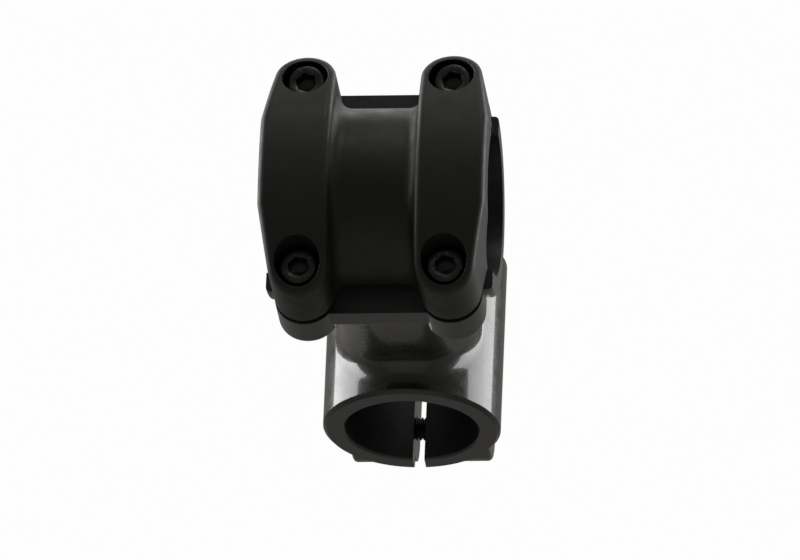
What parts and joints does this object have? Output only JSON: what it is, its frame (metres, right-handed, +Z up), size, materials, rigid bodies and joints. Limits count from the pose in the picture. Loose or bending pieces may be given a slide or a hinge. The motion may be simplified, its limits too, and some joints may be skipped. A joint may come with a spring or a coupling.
{
  "type": "handlebar stem",
  "caption": "Threadless handlebar stem in black alloy: split pinch clamp for the steerer tube, hollow waisted arm and a bolt-on faceplate that holds the handlebar.",
  "frame": {"origin": "on the steerer axis, at the lower face of the steerer clamp", "axes": "+Z up the steerer axis, -Y forward to the handlebar, +X along the handlebar to the rider's left"},
  "size_m": [0.048, 0.119, 0.056],
  "materials": {
    "body_alloy": "forged alloy, gloss black coat, dark machined bores and split face",
    "faceplate_alloy": "forged alloy, matt black coat, dark machined bore and split face",
    "bolt_steel": "alloy steel, black oxide",
    "washer_steel": "steel, black zinc plated"
  },
  "bodies": {
    "stem": {"stem_body": "body_alloy"},
    "faceplate": {"faceplate": "faceplate_alloy", "faceplate_washer_upper_right": "washer_steel", "faceplate_washer_upper_left": "washer_steel", "faceplate_washer_lower_right": "washer_steel", "faceplate_washer_lower_left": "washer_steel"},
    "faceplate_bolt_upper_right": {"faceplate_bolt_upper_right": "bolt_steel"},
    "faceplate_bolt_upper_left": {"faceplate_bolt_upper_left": "bolt_steel"},
    "faceplate_bolt_lower_right": {"faceplate_bolt_lower_right": "bolt_steel"},
    "faceplate_bolt_lower_left": {"faceplate_bolt_lower_left": "bolt_steel"},
    "pinch_washer_upper": {"pinch_washer_upper": "washer_steel"},
    "pinch_bolt_upper": {"pinch_bolt_upper": "bolt_steel"},
    "pinch_washer_lower": {"pinch_washer_lower": "washer_steel"},
    "pinch_bolt_lower": {"pinch_bolt_lower": "bolt_steel"}
  },
  "joints": [
    {"name": "faceplate_slide", "type": "slide", "parent": "stem", "child": "faceplate", "axis": [0, -1, 0], "range_m": [0, 0.012]},
    {"name": "faceplate_bolt_upper_right_turn", "type": "hinge", "parent": "faceplate", "child": "faceplate_bolt_upper_right", "pos_m": [-0.0155, -0.078, 0.0415], "axis": [0, -1, 0], "range_deg": [0, 5400]},
    {"name": "faceplate_bolt_upper_left_turn", "type": "hinge", "parent": "faceplate", "child": "faceplate_bolt_upper_left", "pos_m": [0.0155, -0.078, 0.0415], "axis": [0, -1, 0], "range_deg": [0, 5400]},
    {"name": "faceplate_bolt_lower_right_turn", "type": "hinge", "parent": "faceplate", "child": "faceplate_bolt_lower_right", "pos_m": [-0.0155, -0.078, -0.0015], "axis": [0, -1, 0], "range_deg": [0, 5400]},
    {"name": "faceplate_bolt_lower_left_turn", "type": "hinge", "parent": "faceplate", "child": "faceplate_bolt_lower_left", "pos_m": [0.0155, -0.078, -0.0015], "axis": [0, -1, 0], "range_deg": [0, 5400]},
    {"name": "pinch_washer_upper_slide", "type": "slide", "parent": "stem", "child": "pinch_washer_upper", "axis": [1, 0, 0], "range_m": [0, 0.0104]},
    {"name": "pinch_bolt_upper_turn", "type": "hinge", "parent": "pinch_washer_upper", "child": "pinch_bolt_upper", "pos_m": [0.0086, 0.02, 0.03], "axis": [1, 0, 0], "range_deg": [0, 4680]},
    {"name": "pinch_washer_lower_slide", "type": "slide", "parent": "stem", "child": "pinch_washer_lower", "axis": [-1, 0, 0], "range_m": [0, 0.0104]},
    {"name": "pinch_bolt_lower_turn", "type": "hinge", "parent": "pinch_washer_lower", "child": "pinch_bolt_lower", "pos_m": [-0.0086, 0.02, 0.01], "axis": [-1, 0, 0], "range_deg": [0, 4680]}
  ],
  "couplings": [
    {"joint": "faceplate_bolt_upper_right_turn", "follows": "faceplate_slide", "rad_per_m": 7854},
    {"joint": "faceplate_bolt_upper_left_turn", "follows": "faceplate_slide", "rad_per_m": 7854},
    {"joint": "faceplate_bolt_lower_right_turn", "follows": "faceplate_slide", "rad_per_m": 7854},
    {"joint": "faceplate_bolt_lower_left_turn", "follows": "faceplate_slide", "rad_per_m": 7854},
    {"joint": "pinch_bolt_upper_turn", "follows": "pinch_washer_upper_slide", "rad_per_m": 7854},
    {"joint": "pinch_bolt_lower_turn", "follows": "pinch_washer_lower_slide", "rad_per_m": 7854}
  ]
}
